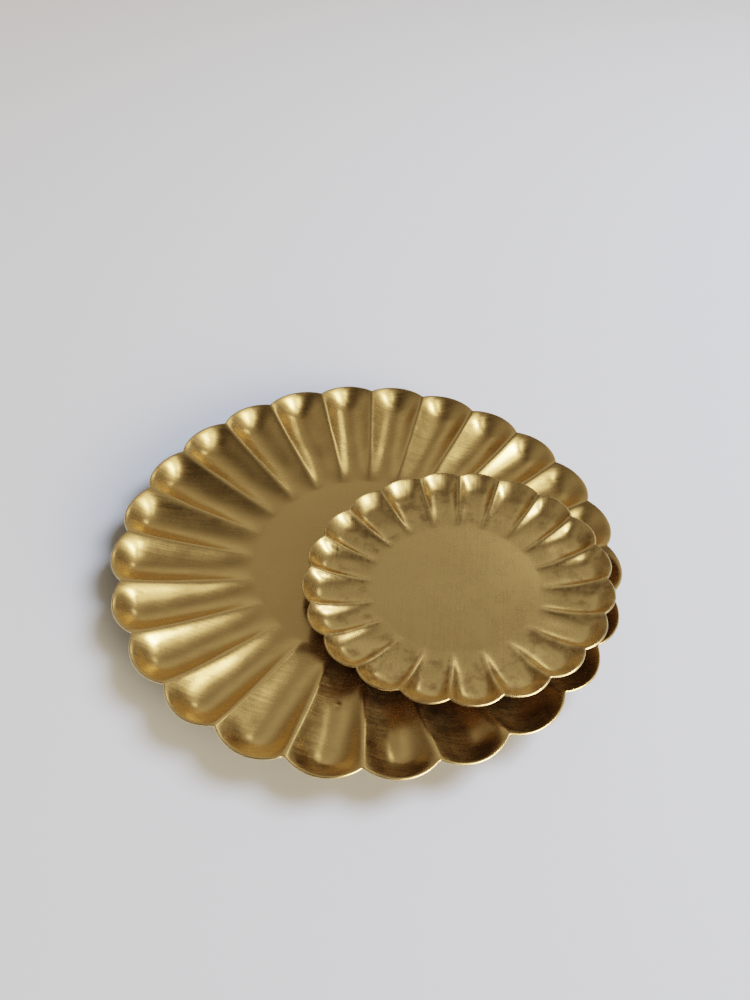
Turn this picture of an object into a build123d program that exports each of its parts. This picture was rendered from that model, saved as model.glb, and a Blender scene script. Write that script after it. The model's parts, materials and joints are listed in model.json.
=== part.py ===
from build123d import *
import os
from collections import namedtuple
from math import comb, cos, exp, log1p, pi, radians, sin, sqrt, tan

import numpy as np

# Two loose fluted brass trays, a small one lying in a large one.
# Each is one pressed sheet: a flat round floor, and round it a ring of petals, each a
# hollow flute between two narrow ridges that curls up to a scalloped rim.
# Millimetres, +Z up. The origin is the middle of the underside of the large tray's
# floor, so the large tray stands on z = 0. One of its ridges points along +X.

# ---- driving dimensions -------------------------------------------------------------

Tray = namedtuple(
    "Tray",
    "petals tip_radius notch_radius floor_radius rim_height sheet ridge_curve "
    "flute_curve wall_foot wall_angle wall_bend lip_bend flute_flatness "
    "ridge_sharpness spans",
)

LARGE = Tray(
    petals=24,
    tip_radius=125.0,          # overall diameter 250, over the petal tips
    notch_radius=119.8,        # where two petals meet at the rim
    floor_radius=57.5,         # flat middle
    rim_height=17.5,           # underside of the rim above the underside of the floor
    sheet=1.0,
    ridge_curve=(0.92, -0.37, 0.45),  # rise of a ridge: shares of u, u^2 and u^3
    flute_curve=(0.25, 0.30),  # rise of a flute's long gutter: shares of u and u^2
    wall_foot=0.872,           # where the gutter turns up into its end wall
    wall_angle=49.0,           # steepness of the end wall over the gutter's, degrees
    wall_bend=0.016,           # how gently it turns up, in u
    lip_bend=0.8,              # how gently it turns out into the lip, mm
    flute_flatness=1,          # 1 is a round gutter across the flute
    ridge_sharpness=7,         # a higher number is a narrower ridge
    spans=(0.0, 0.55, 0.80, 0.88, 0.94, 1.0),  # the surface is made in these lengths
)

SMALL = Tray(
    petals=20,
    tip_radius=75.0,           # overall diameter 150
    notch_radius=71.6,
    floor_radius=40.5,
    rim_height=10.0,
    sheet=1.0,
    ridge_curve=(0.70, 0.05, 0.25),
    flute_curve=(0.10, 0.25),
    wall_foot=0.800,
    wall_angle=47.0,
    wall_bend=0.040,
    lip_bend=0.4,
    flute_flatness=2,          # 2 is a flat-bottomed flute
    ridge_sharpness=7,
    spans=(0.0, 0.50, 0.80, 0.93, 1.0),
)

# How the small tray lies: its floor's inner edge is on the large floor, and its far
# side is up on two of the large tray's ridges, so it leans outwards and upwards.
SMALL_OFFSET = 47.8            # from the large tray's axis to the small tray's
SMALL_AZIMUTH = -24.2          # direction of that offset, degrees from +X
SMALL_TURN = 174.55            # azimuth of one of its ridges
LEAN_ANGLE = 6.253             # degrees
LEAN_AZIMUTH = -32.7           # its highest side
LEAN_LIFT = 6.241              # middle of its underside above the origin plane

RADIAL_DEGREE = 6              # of each length of a petal's surface, outwards
ACROSS_DEGREE = 14             # of each length, from ridge to ridge


# ---- the pressed sheet --------------------------------------------------------------

def rim_radius(tray, angle):
    """Radius of the scalloped outline at an angle from a petal's middle: a round arc."""
    half = pi / tray.petals
    chord = tray.notch_radius * sin(half)
    bulge = tray.tip_radius - tray.notch_radius * cos(half)
    arc = (chord ** 2 + bulge ** 2) / (2 * bulge)
    centre = tray.tip_radius - arc
    return centre * cos(angle) + sqrt(arc ** 2 - (centre * sin(angle)) ** 2)


def across_flute(tray, v):
    """1 at a flute's middle (v = 0), falling to 0 with no slope at its ridges (v = +-1)."""
    low = tray.flute_flatness
    high = tray.ridge_sharpness
    return 1 - (high * v ** (2 * low) - low * v ** (2 * high)) / (high - low)


def ridge_height(tray, u):
    return tray.rim_height * sum(
        share * u ** (k + 1) for k, share in enumerate(tray.ridge_curve)
    )


def flute_height(tray, u):
    """A long shallow gutter, then a wall up to the lip, where it meets the ridges."""
    first, second = tray.flute_curve
    gutter = tray.rim_height * (first * u + second * u ** 2)
    length = tray.notch_radius - tray.floor_radius
    climb = tray.wall_bend * log1p(exp((u - tray.wall_foot) / tray.wall_bend))
    gutter += climb * length * tan(radians(tray.wall_angle))
    ridge = ridge_height(tray, u)
    gap = ridge - gutter
    return ridge - (gap + sqrt(gap ** 2 + (tray.lip_bend * u) ** 2)) / 2


def underside(tray, u, v):
    """Point under a petal that points along +X; u = 0 at the floor and 1 at the rim."""
    angle = v * pi / tray.petals
    radius = tray.floor_radius + u * (rim_radius(tray, angle) - tray.floor_radius)
    ridge = ridge_height(tray, u)
    height = ridge - (ridge - flute_height(tray, u)) * across_flute(tray, v)
    return np.array([radius * cos(angle), radius * sin(angle), height])


def mirrored(point, angle):
    """The point mirrored in the upright plane through the axis at that angle."""
    across = np.array([-sin(angle), cos(angle), 0.0])
    return point - 2 * np.dot(point, across) * across


def upper_side(tray, u, v):
    """The same point on top of the sheet, one thickness away along the surface normal."""
    point = underside(tray, u, v)
    if u == 0:
        return point + np.array([0.0, 0.0, tray.sheet])
    step = 1e-4
    along = point - underside(tray, u - step, v)
    if abs(v) < 1:
        across = underside(tray, u, v + step) - underside(tray, u, v - step)
    else:
        # a ridge lies in its own mirror plane, so the sheet is level across it
        inner = underside(tray, u, v * (1 - step))
        across = (mirrored(inner, v * pi / tray.petals) - inner) * v
    normal = np.cross(along, across)
    return point + tray.sheet * normal / np.linalg.norm(normal)


# ---- surfaces -----------------------------------------------------------------------

def bernstein(degree):
    """Values of the Bernstein polynomials at degree + 1 even steps."""
    rows = []
    for k in range(degree + 1):
        t = k / degree
        rows.append([comb(degree, i) * t ** i * (1 - t) ** (degree - i)
                     for i in range(degree + 1)])
    return np.array(rows)


def control_net(surface, start, end):
    """Bezier control points of the patch through an even grid of points, u start to end."""
    grid = np.array([
        [surface(start + (end - start) * i / RADIAL_DEGREE, 2 * j / ACROSS_DEGREE - 1)
         for j in range(ACROSS_DEGREE + 1)]
        for i in range(RADIAL_DEGREE + 1)
    ])
    along = np.linalg.inv(bernstein(RADIAL_DEGREE))
    across = np.linalg.inv(bernstein(ACROSS_DEGREE))
    return np.einsum("ai,bj,ijk->abk", along, across, grid)


def turned(net, angle):
    """The control points turned about the tray's axis."""
    turn = np.array([
        [cos(angle), -sin(angle), 0.0],
        [sin(angle), cos(angle), 0.0],
        [0.0, 0.0, 1.0],
    ])
    return net @ turn.T


def patch(net):
    return Face.make_bezier_surface([[tuple(point) for point in row] for row in net])


def disc(edge_nets):
    """The flat floor, bounded by the petals' own inner edges."""
    edges = [Edge.make_bezier(*[tuple(point) for point in net]) for net in edge_nets]
    return Face(Wire(edges))


def pressed_tray(tray):
    """The whole tray as one closed solid, its floor's underside on z = 0."""
    lengths = list(zip(tray.spans[:-1], tray.spans[1:]))
    bottom = [control_net(lambda u, v: underside(tray, u, v), *ends) for ends in lengths]
    top = [control_net(lambda u, v: upper_side(tray, u, v), *ends) for ends in lengths]
    faces = []
    bottom_edges = []
    top_edges = []
    for petal in range(tray.petals):
        angle = (2 * petal + 1) * pi / tray.petals
        bottom_nets = [turned(net, angle) for net in bottom]
        top_nets = [turned(net, angle) for net in top]
        faces += [patch(net) for net in bottom_nets + top_nets]
        faces.append(patch([bottom_nets[-1][-1], top_nets[-1][-1]]))
        bottom_edges.append(bottom_nets[0][0])
        top_edges.append(top_nets[0][0])
    faces.append(disc(bottom_edges))
    faces.append(disc(top_edges))
    return Solid(Shell(faces))


# ---- the pair -----------------------------------------------------------------------

large_tray = pressed_tray(LARGE)

small_place = Location((
    SMALL_OFFSET * cos(radians(SMALL_AZIMUTH)),
    SMALL_OFFSET * sin(radians(SMALL_AZIMUTH)),
    LEAN_LIFT,
))
lean = Rotation(0, 0, LEAN_AZIMUTH) * Rotation(0, -LEAN_ANGLE, 0)
turn = Rotation(0, 0, SMALL_TURN - LEAN_AZIMUTH)
small_tray = small_place * lean * turn * pressed_tray(SMALL)

os.makedirs("parts", exist_ok=True)
NODES = {"large_tray": large_tray, "small_tray": small_tray}
for name, solid in NODES.items():
    export_step(solid, f"parts/{name}.step")
    box = solid.bounding_box()
    print(name, "valid", solid.is_valid, "volume", round(solid.volume, 1), box.min, box.max)
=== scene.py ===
"""Two loose fluted brass trays, a small one lying tilted in a large one."""

import json
import math
from types import SimpleNamespace

import bpy
import numpy as np
from mathutils import Matrix, Vector


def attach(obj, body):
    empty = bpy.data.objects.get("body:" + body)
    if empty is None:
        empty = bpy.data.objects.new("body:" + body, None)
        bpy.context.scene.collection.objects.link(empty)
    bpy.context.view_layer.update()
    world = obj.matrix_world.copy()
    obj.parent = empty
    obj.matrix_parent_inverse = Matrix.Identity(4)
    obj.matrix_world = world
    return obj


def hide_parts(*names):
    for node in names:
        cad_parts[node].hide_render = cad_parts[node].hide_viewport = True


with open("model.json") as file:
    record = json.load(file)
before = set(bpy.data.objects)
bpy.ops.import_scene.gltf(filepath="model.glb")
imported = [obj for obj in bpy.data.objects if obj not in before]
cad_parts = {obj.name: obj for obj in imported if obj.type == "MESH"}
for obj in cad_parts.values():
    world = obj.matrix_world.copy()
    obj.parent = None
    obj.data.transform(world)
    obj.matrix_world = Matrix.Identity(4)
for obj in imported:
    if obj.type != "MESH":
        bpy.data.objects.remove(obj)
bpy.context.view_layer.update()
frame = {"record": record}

MM = 0.001


# ---- driving dimensions --------------------------------------------------------------

# Over a petal, u is 0 at the floor's edge and 1 at the rim, and v is 0 in the middle of
# its flute and -1 and 1 on the ridges beside it. Lengths are in millimetres.

LARGE = SimpleNamespace(
    node="large_tray",
    body="large_tray_body",
    slot="large_brass",
    # the pressed sheet
    petals=24,
    tip_radius=125.0,           # overall diameter 250, over the petal tips
    notch_radius=119.8,         # where two petals meet at the rim
    floor_radius=57.5,          # flat middle
    rim_height=17.5,            # underside of the rim above the underside of the floor
    sheet=1.0,
    ridge_curve=(0.92, -0.37, 0.45),    # rise of a ridge: shares of u, u^2 and u^3
    flute_curve=(0.25, 0.30),   # rise of a flute's long gutter: shares of u and u^2
    wall_foot=0.872,            # u where the gutter turns up into its end wall
    wall_angle=47.0,            # steepness of the end wall over the gutter's, degrees
    wall_bend=0.025,            # how gently it turns up, in u
    lip_bend=1.0,               # how gently it turns out into the lip
    flute_flatness=1,           # 1 is a round gutter across the flute
    ridge_sharpness=6,          # a higher number is a narrower ridge
    # its mesh
    columns=40,                 # across a petal
    rings=84,                   # along a petal
    floor_rings=16,
    # what is irregular in it
    seed=3,
    swing=0.35,                 # most that a ridge stands aside, degrees
    depth=0.05,                 # how much shallower a flute may be
    dent=0.10,                  # size of the shallow dents
    pimple=(-97.5, 86.0),       # azimuth (degrees) and radius of a small bump
    # its brass
    brass=(0.83, 0.60, 0.280, 1),
    dull=(0.71, 0.50, 0.225, 1),
    # the colour of the grime in the flutes, also used for the painted shade beside the ridges
    stain_and_shade=(0.43, 0.31, 0.15, 1),
    bright=(0.93, 0.78, 0.48, 1),       # rubbed ridges and lip
    smudge=0.22,                # how strong the smudges in the flutes are
    crease_shade=0.25,                # and the painted shade in the creases beside the ridges
    lines=0.4,                  # how dull the brush lines are
    groove=0.25,                # and how deep
    grain=(0.02, 1, 0.02),      # brushed along X, in its own frame
    anisotropic=0.45,
    anisotropic_turn=0.25,
    roughness=0.25,
)

SMALL = SimpleNamespace(
    node="small_tray",
    body="small_tray_body",
    slot="small_brass",
    petals=20,
    tip_radius=75.0,            # overall diameter 150
    notch_radius=71.6,
    floor_radius=40.5,
    rim_height=10.0,
    sheet=1.0,
    ridge_curve=(0.45, 0.10, 0.45),
    flute_curve=(0.10, 0.25),
    wall_foot=0.800,
    wall_angle=47.0,
    wall_bend=0.040,
    lip_bend=0.4,
    flute_flatness=2,           # 2 is a flat-bottomed flute
    ridge_sharpness=7,
    columns=40,
    rings=64,
    floor_rings=12,
    seed=8,
    swing=0.8,
    depth=0.07,
    dent=0.14,
    pimple=None,
    brass=(0.82, 0.61, 0.295, 1),
    dull=(0.70, 0.51, 0.245, 1),
    # the colour of the grime in the flutes, also used for the painted shade beside the ridges
    stain_and_shade=(0.35, 0.25, 0.13, 1),
    bright=(0.93, 0.76, 0.48, 1),
    smudge=0.85,
    # how strong the painted shade in the creases beside the ridges is
    crease_shade=0.80,
    lines=0.06,
    groove=0.05,
    grain=(1, 0.006, 0.006),    # brushed along Y, in its own frame
    anisotropic=0.30,
    anisotropic_turn=0.0,
    roughness=0.28,
)

SMALL_TURN = 174.55        # degrees: where one of the small tray's ridges points

RIDGE_EASE = 0.02          # how gently a ridge leaves the floor, in u
GUTTER_EASE = 0.10         # and a gutter

DENT_SIZE = 22.0           # mm across
DENT_LIFT = 1.5            # in dents: raises them, so that the small tray's clear the large one
PIMPLE_HEIGHT = 0.5        # mm
PIMPLE_SPREAD = 1.6        # mm^2

EDGE_LOOPS = 5             # of mesh round the cut edge
EDGE_INSET = 0.35          # mm inside the outline: where its rounded edge begins
EDGE_BULGE = 0.33          # mm: how far that edge sticks out from there
EDGE_BLUNTNESS = 0.6       # 1 is an ellipse; a lower number is squarer


# ---- the shape of the sheet ----------------------------------------------------------

def rim_radius(tray, angle):
    """Radius of the scalloped outline at an angle from a petal's middle: a round arc."""
    half = math.pi / tray.petals
    chord = tray.notch_radius * math.sin(half)
    bulge = tray.tip_radius - tray.notch_radius * math.cos(half)
    arc = (chord ** 2 + bulge ** 2) / (2 * bulge)
    centre = tray.tip_radius - arc
    return centre * np.cos(angle) + np.sqrt(arc ** 2 - (centre * np.sin(angle)) ** 2)


def across_flute(tray, v):
    """1 in the middle of a flute, falling to 0 with no slope at its ridges."""
    low, high = tray.flute_flatness, tray.ridge_sharpness
    v = np.abs(v)
    return 1 - (high * v ** (2 * low) - low * v ** (2 * high)) / (high - low)


def eased(u, blunt):
    """u, but leaving 0 gently instead of at once."""
    return (np.sqrt(u ** 2 + blunt ** 2) - blunt) / (math.sqrt(1 + blunt ** 2) - blunt)


def ridge_height(tray, u):
    start = eased(u, RIDGE_EASE)
    return tray.rim_height * sum(c * start ** (k + 1) for k, c in enumerate(tray.ridge_curve))


def flute_height(tray, u):
    """A long shallow gutter, then a steep wall up to the lip, where it meets the ridges."""
    first, second = tray.flute_curve
    start = eased(u, GUTTER_EASE)
    gutter = tray.rim_height * (first * start + second * start ** 2)
    length = tray.notch_radius - tray.floor_radius
    bend = tray.wall_bend
    climb = bend * np.logaddexp(0, (u - tray.wall_foot) / bend)
    gutter = gutter + climb * length * math.tan(math.radians(tray.wall_angle))
    ridge = ridge_height(tray, u)
    gap = ridge - gutter
    return ridge - (gap + np.sqrt(gap ** 2 + (tray.lip_bend * u) ** 2)) / 2


def underside_height(tray, u, v, depth):
    ridge = ridge_height(tray, u)
    return ridge - (ridge - flute_height(tray, u)) * across_flute(tray, v) * depth


def smooth_noise(rng, points, size, waves=40):
    """Gentle random waves over the plan, about size across, between -1 and 1 or so."""
    headings = rng.uniform(0, 2 * math.pi, waves)
    wave_numbers = 2 * math.pi / size * rng.uniform(0.5, 1.3, waves)
    phases = rng.uniform(0, 2 * math.pi, waves)
    total = np.zeros(points.shape[:2])
    for heading, wave_number, phase in zip(headings, wave_numbers, phases):
        along = points[..., 0] * math.cos(heading) + points[..., 1] * math.sin(heading)
        total += np.sin(wave_number * along + phase)
    return total / math.sqrt(waves / 2)


def pimple(tray, points):
    """Height of the one small bump over the plan."""
    turn, radius = math.radians(tray.pimple[0]), tray.pimple[1]
    away = (points[..., 0] - radius * math.cos(turn)) ** 2
    away += (points[..., 1] - radius * math.sin(turn)) ** 2
    return PIMPLE_HEIGHT * np.exp(-away / PIMPLE_SPREAD)


def sheet_grid(tray):
    """The underside in the tray's own frame, ring by ring from the middle out.

    Gives the points, their reach (u, or less than 0 on the floor) and across (v).
    """
    # columns, closer together at the ridges
    step = np.linspace(-1, 1, tray.columns, endpoint=False)
    v = 0.55 * step + 0.45 * np.sin(step * math.pi / 2)
    v = np.tile(v, tray.petals)
    half = math.pi / tray.petals
    petal = np.repeat(np.arange(tray.petals), tray.columns)
    angle = v * half

    # each ridge stands a little aside, and the columns between two ridges follow them
    rng = np.random.default_rng(tray.seed)
    swing = np.radians(tray.swing) * rng.uniform(-1, 1, tray.petals)
    ease = 0.5 + 0.5 * np.sin(v * math.pi / 2)
    turned = swing[petal] * (1 - ease) + swing[(petal + 1) % tray.petals] * ease
    theta = angle + (2 * petal + 1) * half + turned
    depth = 1 - tray.depth * rng.uniform(0, 1.5, tray.petals)[petal]

    # rings, closer together at the floor's edge and the rim
    s = np.linspace(0, 1, tray.rings + 1)
    u = 0.5 * s + 0.25 * (1 - np.cos(math.pi * s))
    length = rim_radius(tray, angle) - tray.floor_radius
    u = u[:, None] * (1 - EDGE_INSET / length)[None, :]
    radius = tray.floor_radius + u * length[None, :]
    height = underside_height(tray, u, v[None, :], depth[None, :])

    share = np.sqrt(np.linspace(0, 1, tray.floor_rings + 1))[1:-1]
    share = np.repeat(share[:, None], len(v), 1)
    radius = np.vstack([share * tray.floor_radius, radius])
    height = np.vstack([np.zeros(share.shape), height])
    reach = np.vstack([share - 1, u])
    across = np.repeat(v[None, :], len(radius), 0)
    points = np.stack([radius * np.cos(theta), radius * np.sin(theta), height], 2)

    # shallow dents of hand-finished sheet, none at the floor, the rim and the ridges
    loose = np.clip(reach * 3, 0, 1) * np.clip((1 - reach) * 6, 0, 1)
    loose *= 1 - np.abs(across) ** 6
    points[..., 2] += tray.dent * loose * (DENT_LIFT + smooth_noise(rng, points, DENT_SIZE))
    if tray.pimple:
        points[..., 2] += pimple(tray, points)
    points[..., 2] = np.maximum(points[..., 2], 0)
    return points, reach, across


def grid_normals(points):
    along = np.gradient(points, axis=0)
    wrapped = np.concatenate([points[:, -1:], points, points[:, :1]], 1)
    across = (wrapped[:, 2:] - wrapped[:, :-2]) / 2
    normal = np.cross(along, across)
    return normal / np.linalg.norm(normal, axis=2, keepdims=True)


def rounded_edge(tray, under, upper, normal):
    """Loops of points round the cut edge, from the top of the sheet to its underside."""
    outward = under[-1] - under[-2]
    outward -= np.sum(outward * normal[-1], 1, keepdims=True) * normal[-1]
    outward /= np.linalg.norm(outward, axis=1, keepdims=True)
    middle = (under[-1] + upper[-1]) / 2
    loops = []
    for k in range(1, EDGE_LOOPS + 1):
        turn = math.pi * k / (EDGE_LOOPS + 1)
        rise = math.cos(turn) * tray.sheet / 2
        loops.append(middle + normal[-1] * rise
                     + outward * math.sin(turn) ** EDGE_BLUNTNESS * EDGE_BULGE)
    return np.array(loops)


def loop_faces(loops, columns):
    """Faces that join closed loops of points in turn, with a fan to a point at each end."""
    start = np.arange(loops - 1)[:, None] * columns
    here = np.arange(columns)
    after = (here + 1) % columns
    quads = np.stack([start + here, start + columns + here,
                      start + columns + after, start + after], 2).reshape(-1, 4)
    last = (loops - 1) * columns
    top_middle = loops * columns
    under_middle = top_middle + 1
    top_fan = np.stack([np.full(columns, top_middle), here, after], 1)
    under_fan = np.stack([np.full(columns, under_middle), last + after, last + here], 1)
    return quads.tolist() + top_fan.tolist() + under_fan.tolist()


def tray_mesh(tray, place):
    """The tray as one closed sheet, with the attributes that its material reads.

    own is the point in the tray's own frame, in metres, reach and across are u and v,
    and below is 1 on the underside and 0 on top.
    """
    under, reach, across = sheet_grid(tray)
    normal = grid_normals(under)
    upper = under + tray.sheet * normal
    edge = rounded_edge(tray, under, upper, normal)
    rings, columns = reach.shape
    loops = np.concatenate([upper, edge, under[::-1]])
    middles = np.array([[0, 0, tray.sheet], [0, 0, 0]])
    points = np.concatenate([loops.reshape(-1, 3), middles])
    placed = (points * MM) @ np.array(place.to_3x3()).T + np.array(place.translation)
    mesh = bpy.data.meshes.new(tray.node + "_sheet")
    mesh.from_pydata(placed.tolist(), [], loop_faces(len(loops), columns))
    mesh.shade_smooth()

    own = mesh.attributes.new("own", "FLOAT_VECTOR", "POINT")
    own.data.foreach_set("vector", (points * MM).astype(np.float32).ravel())
    on_rim = np.ones((EDGE_LOOPS, columns))
    on_top = np.zeros((rings + EDGE_LOOPS - 1, columns))
    on_underside = np.ones((rings + 1, columns))
    for name, grids, at_middles in (
        ("reach", (reach, on_rim, reach[::-1]), (-1, -1)),
        ("across", (across, across[:EDGE_LOOPS], across[::-1]), (0, 0)),
        ("below", (on_top, on_underside), (0, 1)),
    ):
        values = np.concatenate([np.concatenate(grids).ravel(), at_middles])
        attribute = mesh.attributes.new(name, "FLOAT", "POINT")
        attribute.data.foreach_set("value", values.astype(np.float32))
    uv = mesh.uv_layers.new(name="grain")
    index = np.zeros(len(mesh.loops), np.int32)
    mesh.loops.foreach_get("vertex_index", index)
    uv.data.foreach_set("uv", (points[index, :2] * MM).astype(np.float32).ravel())
    mesh.validate()
    piece = bpy.data.objects.new(tray.node + "_sheet", mesh)
    bpy.context.scene.collection.objects.link(piece)
    return piece


# ---- nodes ---------------------------------------------------------------------------

def set_or_link(tree, socket, value):
    if isinstance(value, bpy.types.NodeSocket):
        tree.links.new(value, socket)
    else:
        socket.default_value = value


def add(tree, kind, **values):
    """A node of that kind, its inputs set from plain values or linked from sockets."""
    node = tree.nodes.new("ShaderNode" + kind)
    for key, value in values.items():
        if hasattr(node, key):
            setattr(node, key, value)
        else:
            set_or_link(tree, node.inputs[key.replace("_", " ")], value)
    return node


def attribute(tree, name, output="Fac"):
    return add(tree, "Attribute", attribute_name=name).outputs[output]


def math_node(tree, operation, *values):
    node = add(tree, "Math", operation=operation)
    for socket, value in zip(node.inputs, values):
        set_or_link(tree, socket, value)
    return node.outputs[0]


def product(tree, first, *others):
    for other in others:
        first = math_node(tree, "MULTIPLY", first, other)
    return first


def mapped(tree, value, low, high, to_low, to_high):
    """value, clamped between low and high, taken to the range to_low to to_high."""
    node = add(tree, "MapRange")
    for socket, item in zip(node.inputs, (value, low, high, to_low, to_high)):
        set_or_link(tree, socket, item)
    return node.outputs[0]


def noise(tree, place, scale, size, detail=3.0, roughness=0.55):
    """Noise with features about size (m) in each direction of place."""
    stretch = add(tree, "Mapping", Vector=place, Scale=[s / size for s in scale])
    node = add(tree, "TexNoise", Vector=stretch.outputs[0], Scale=1.0, Detail=detail,
               Roughness=roughness)
    return node.outputs[0]


def tinted(tree, colour, tint, amount):
    node = add(tree, "Mix", data_type="RGBA")
    for socket, value in ((node.inputs[0], amount), (node.inputs[6], colour),
                          (node.inputs[7], tint)):
        set_or_link(tree, socket, value)
    return node.outputs[2]


# ---- brass ---------------------------------------------------------------------------

DARK_BACK_AND_SHADE = (0.055, 0.036, 0.017, 1)    # the dull back of both sheets: unpolished metal, made near-black as painted shade under the trays
UNPOLISHED_ROUGHER = 0.35
RUBBED_SMOOTHER = 0.06

EVEN = (1, 1, 1)
FINE_LINE = 0.00035        # m, the sizes of the marks on the metal
COARSE_LINE = 0.0011
SPECK = 0.0022
MOTTLE = 0.0085
CLOUD = 0.034


def sheet_marks(tree, tray):
    """What varies over the sheet: how far out and across it is, and its marks."""
    own = attribute(tree, "own", "Vector")
    fine = noise(tree, own, tray.grain, FINE_LINE, 2.0, 0.6)
    coarse = noise(tree, own, tray.grain, COARSE_LINE, 2.0, 0.6)
    coarse = math_node(tree, "MULTIPLY", coarse, 0.55)
    return SimpleNamespace(
        reach=attribute(tree, "reach"),
        flank=math_node(tree, "ABSOLUTE", attribute(tree, "across")),
        below=attribute(tree, "below"),
        streaks=math_node(tree, "MULTIPLY_ADD", fine, 0.45, coarse),
        cloud=noise(tree, own, EVEN, CLOUD),
        mottle=noise(tree, own, EVEN, MOTTLE, 4.0, 0.62),
        speck=noise(tree, own, EVEN, SPECK, 3.0, 0.7),
        swell=noise(tree, own, EVEN, MOTTLE, 1.0),
    )


def rubbed(tree, marks, inside):
    """How far the patina is rubbed off: on the ridges and, more, on the lip."""
    ridge = product(tree, mapped(tree, marks.flank, 0.94, 1.0, 0.0, 0.22), inside)
    lip = mapped(tree, marks.reach, 0.985, 1.0, 0.0, 0.35)
    either = math_node(tree, "MAXIMUM", ridge, lip)
    return product(tree, either, mapped(tree, marks.mottle, 0.3, 0.6, 1.0, 0.5))


def brass_colour(tree, tray, marks, inside, worn):
    """Patina and brush lines, then grime in the flutes, painted shade in the creases beside the
    ridges, bare metal, and the dark back, partly painted shade.
    """
    cloud = mapped(tree, marks.cloud, 0.35, 0.68, 0.0, 0.55)
    colour = tinted(tree, tray.brass, tray.dull, cloud)
    lines = mapped(tree, marks.streaks, 0.36, 0.64, tray.lines, 0.0)
    colour = tinted(tree, colour, tray.dull, lines)
    smudge = mapped(tree, marks.mottle, 0.50, 0.66, 0.0, tray.smudge)
    spots = mapped(tree, marks.speck, 0.64, 0.74, 0.0, tray.smudge * 0.7)
    # painted shade: a dark band in the creases just inside each ridge, broken up by specks
    crease_shade = product(tree, mapped(tree, marks.flank, 0.70, 0.86, 0.0, 1.0),
                     mapped(tree, marks.flank, 0.90, 0.96, 1.0, 0.0),
                     mapped(tree, marks.speck, 0.40, 0.60, 0.0, tray.crease_shade))
    # the smudges and spots are grime; the band beside the ridges is painted shade
    for grime_and_shade in (smudge, spots, crease_shade):
        colour = tinted(tree, colour, tray.stain_and_shade, product(tree, grime_and_shade, inside))
    colour = tinted(tree, colour, tray.bright, worn)
    # the dark back: unpolished metal, with its near-black tone as painted shade under the trays
    dark_back_and_shade_mask = product(tree, marks.below, mapped(tree, marks.cloud, 0.3, 0.7, 0.98, 0.90))
    return tinted(tree, colour, DARK_BACK_AND_SHADE, dark_back_and_shade_mask)


def brass_roughness(tree, tray, marks, worn):
    rough = mapped(tree, marks.streaks, 0.35, 0.65, tray.roughness + 0.04, tray.roughness - 0.04)
    rough = math_node(tree, "ADD", rough, mapped(tree, marks.mottle, 0.4, 0.65, -0.02, 0.05))
    rough = math_node(tree, "SUBTRACT", rough, product(tree, worn, RUBBED_SMOOTHER))
    return math_node(tree, "MULTIPLY_ADD", marks.below, UNPOLISHED_ROUGHER, rough)


def brass_bump(tree, tray, marks):
    """Brush lines, gentle waves and tiny pits, each on top of the last, in metres."""
    lines = add(tree, "Bump", Strength=tray.groove, Distance=0.00003, Height=marks.streaks)
    waves = add(tree, "Bump", Strength=0.45, Distance=0.00008, Height=marks.swell,
                Normal=lines.outputs[0])
    pits = add(tree, "Bump", Strength=0.12, Distance=0.00003, Height=marks.speck,
               Normal=waves.outputs[0])
    return pits.outputs[0]


def brass(tray):
    """Brushed brass with patina, smudged in the flutes and rubbed on ridges and lip."""
    material = bpy.data.materials.new(tray.slot)
    material.use_nodes = True
    tree = material.node_tree
    marks = sheet_marks(tree, tray)
    inside = mapped(tree, marks.reach, 0.02, 0.16, 0.0, 1.0)    # 0 on the flat floor
    worn = rubbed(tree, marks, inside)
    tangent = add(tree, "Tangent", direction_type="UV_MAP", uv_map="grain")
    shader = tree.nodes["Principled BSDF"]
    for name, value in (
        ("Base Color", brass_colour(tree, tray, marks, inside, worn)),
        ("Metallic", 1.0),
        ("Roughness", brass_roughness(tree, tray, marks, worn)),
        ("Anisotropic", tray.anisotropic),
        ("Anisotropic Rotation", tray.anisotropic_turn),
        ("Tangent", tangent.outputs[0]),
        ("Normal", brass_bump(tree, tray, marks)),
    ):
        set_or_link(tree, shader.inputs[name], value)
    return material


# ---- the two trays -------------------------------------------------------------------

def mount(name):
    return next(m for m in frame["record"]["mounts"] if m["name"] == name)


def small_place():
    """The small tray's own frame, from the mount on its floor."""
    floor = mount("small_tray_floor")
    axis = Vector(floor["axis"]).normalized()
    lean = Vector((0, 0, 1)).rotation_difference(axis).to_matrix().to_4x4()
    turn = Matrix.Rotation(math.radians(SMALL_TURN), 4, "Z")
    origin = Vector(floor["pos_m"]) - axis * SMALL.sheet * MM
    return Matrix.Translation(origin) @ lean @ turn


def make_tray(tray, place):
    piece = tray_mesh(tray, place)
    piece.data.materials.append(brass(tray))
    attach(piece, tray.body)
    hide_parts(tray.node)
    return piece


# ---- floor and camera ----------------------------------------------------------------

FLOOR_REACH = 20.0         # m, from its middle to its edges
FLOOR_DROP = 0.00005       # m under the large tray
FLOOR_GREY = (0.80, 0.80, 0.80, 1)

# The camera's place is in notch radii of the large tray, from the middle of its rim.
RIM_PLANE = 0.0185         # m above the floor
CAMERA_PLACE = (0.02254, -2.09439, 2.34716)
CAMERA_DOWN = 45.438       # degrees below level
CAMERA_ROLL = 2.2565       # degrees
CAMERA_TURN = -0.875       # degrees: the tray's ridge points a little off the camera's +X
SENSOR = 36.0              # mm
LENS = 0.75606             # focal length, in sensor widths


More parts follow.
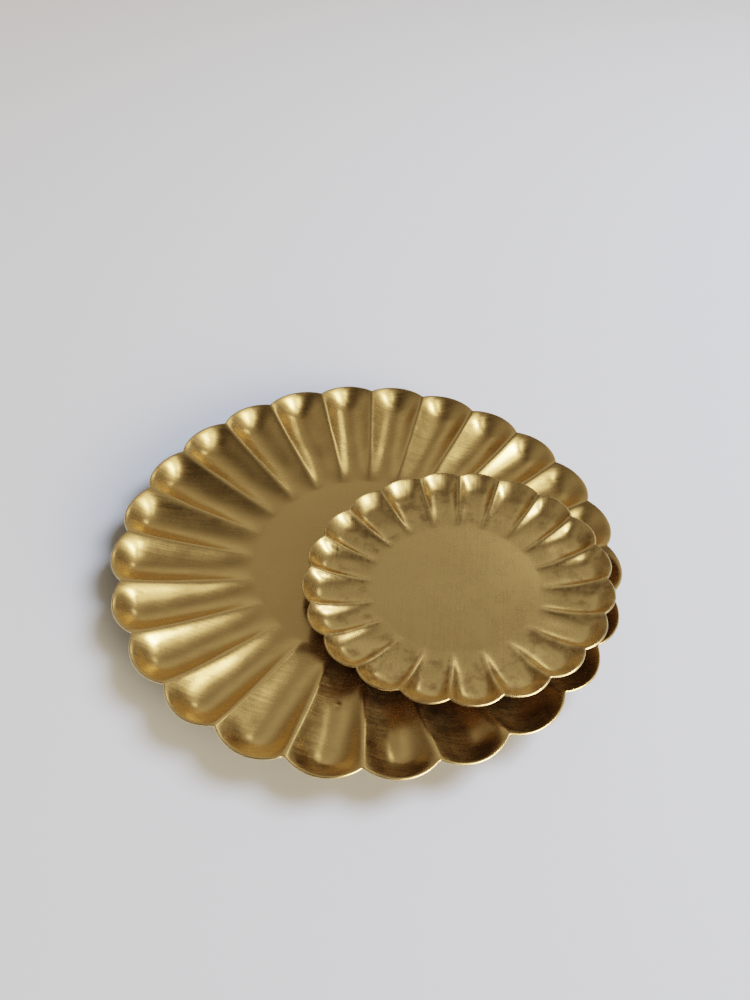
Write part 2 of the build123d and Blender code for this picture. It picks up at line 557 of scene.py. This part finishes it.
def make_floor():
    size = FLOOR_REACH
    corners = [(-size, -size), (size, -size), (size, size), (-size, size)]
    mesh = bpy.data.meshes.new("floor")
    mesh.from_pydata([(x, y, -FLOOR_DROP) for x, y in corners], [], [(0, 1, 2, 3)])
    floor = bpy.data.objects.new("floor", mesh)
    bpy.context.scene.collection.objects.link(floor)
    material = bpy.data.materials.new("floor")
    material.use_nodes = True
    shader = material.node_tree.nodes["Principled BSDF"]
    shader.inputs["Base Color"].default_value = FLOOR_GREY
    shader.inputs["Roughness"].default_value = 0.6
    mesh.materials.append(material)
    return floor


def make_camera():
    data = bpy.data.cameras.new("camera")
    data.sensor_width = SENSOR
    data.lens = LENS * SENSOR
    data.clip_start = 0.01
    camera = bpy.data.objects.new("camera", data)
    bpy.context.scene.collection.objects.link(camera)
    turn = Matrix.Rotation(math.radians(CAMERA_TURN), 4, "Z")
    pitch = Matrix.Rotation(math.radians(90 - CAMERA_DOWN), 4, "X")
    roll = Matrix.Rotation(math.radians(CAMERA_ROLL), 4, "Z")
    place = turn @ (Vector(CAMERA_PLACE) * LARGE.notch_radius * MM)
    place.z += RIM_PLANE
    camera.matrix_world = Matrix.Translation(place) @ turn @ pitch @ roll
    bpy.context.scene.camera = camera


# ---- light ---------------------------------------------------------------------------

WARM = (1.0, 0.83, 0.59)
COOL = (0.93, 1.09, 1.42)   # of the floor's own light, which makes up for the warm glows

# Soft light from all round: (azimuth, elevation, tightness, strength) of each glow.
ROOM = (
    (0, 50, 6, 0.37),
    (90, 25, 6, 0.35),
    (90, 8, 14, 0.16),
    (180, 25, 6, 0.26),
    (-45, 15, 30, 32.0),
    (130, 42, 20, 0.25),
)

# Round studio lights aimed at the origin: name, place (m), diameter (m), power (W).
TRAY_LIGHTS = (
    ("overhead_right", (0.45, -0.26, 0.97), 0.36, 0.46),
    ("above_camera", (0.15, -0.39, 0.38), 0.14, 1.10),
    ("right", (0.38, -0.17, 0.36), 0.12, 2.1),
    ("right_high", (0.323, 0.0, 0.445), 0.12, 0.07),
    ("far_side", (0.220, 0.400, 0.300), 0.16, 0.12),
)
FLOOR_LIGHT = ("floor_light", (1.15, 0.28, 1.50), 1.0, 37.0)


def direction(azimuth, elevation):
    azimuth, elevation = math.radians(azimuth), math.radians(elevation)
    flat = math.cos(elevation)
    return (flat * math.cos(azimuth), flat * math.sin(azimuth), math.sin(elevation))


def make_world():
    """A dark world with round glows in it, each brightest in the middle."""
    world = bpy.data.worlds.new("world")
    bpy.context.scene.world = world
    world.use_nodes = True
    tree = world.node_tree
    towards = add(tree, "TexCoord").outputs["Generated"]
    total = 0.0
    for azimuth, elevation, tightness, strength in ROOM:
        dot = add(tree, "VectorMath", operation="DOT_PRODUCT")
        tree.links.new(towards, dot.inputs[0])
        dot.inputs[1].default_value = direction(azimuth, elevation)
        fall = math_node(tree, "MULTIPLY_ADD", dot.outputs["Value"], tightness, -tightness)
        glow = product(tree, math_node(tree, "EXPONENT", fall), strength)
        total = math_node(tree, "ADD", total, glow)
    background = tree.nodes["Background"]
    background.inputs["Color"].default_value = (*WARM, 1)
    tree.links.new(total, background.inputs["Strength"])


def make_light(name, place, diameter, power, colour, receivers):
    """A round light that falls on the receivers only; everything still shades them."""
    data = bpy.data.lights.new(name, "AREA")
    data.shape = "DISK"
    data.size = diameter
    data.energy = power
    data.color = colour
    light = bpy.data.objects.new(name, data)
    light.location = place
    light.rotation_euler = (-light.location).to_track_quat("-Z", "Y").to_euler()
    light.light_linking.receiver_collection = receivers
    bpy.context.scene.collection.objects.link(light)


def collection_of(name, objects):
    collection = bpy.data.collections.new(name)
    for item in objects:
        collection.objects.link(item)
    return collection


# ---- the scene -----------------------------------------------------------------------

trays = [make_tray(LARGE, Matrix.Identity(4)), make_tray(SMALL, small_place())]
floor = make_floor()
make_camera()
make_world()
trays_only = collection_of("trays_only", trays)
floor_only = collection_of("floor_only", [floor])
for light in TRAY_LIGHTS:
    make_light(*light, WARM, trays_only)
make_light(*FLOOR_LIGHT, COOL, floor_only)
bpy.context.scene.view_settings.view_transform = "Filmic"

bpy.context.view_layer.update()
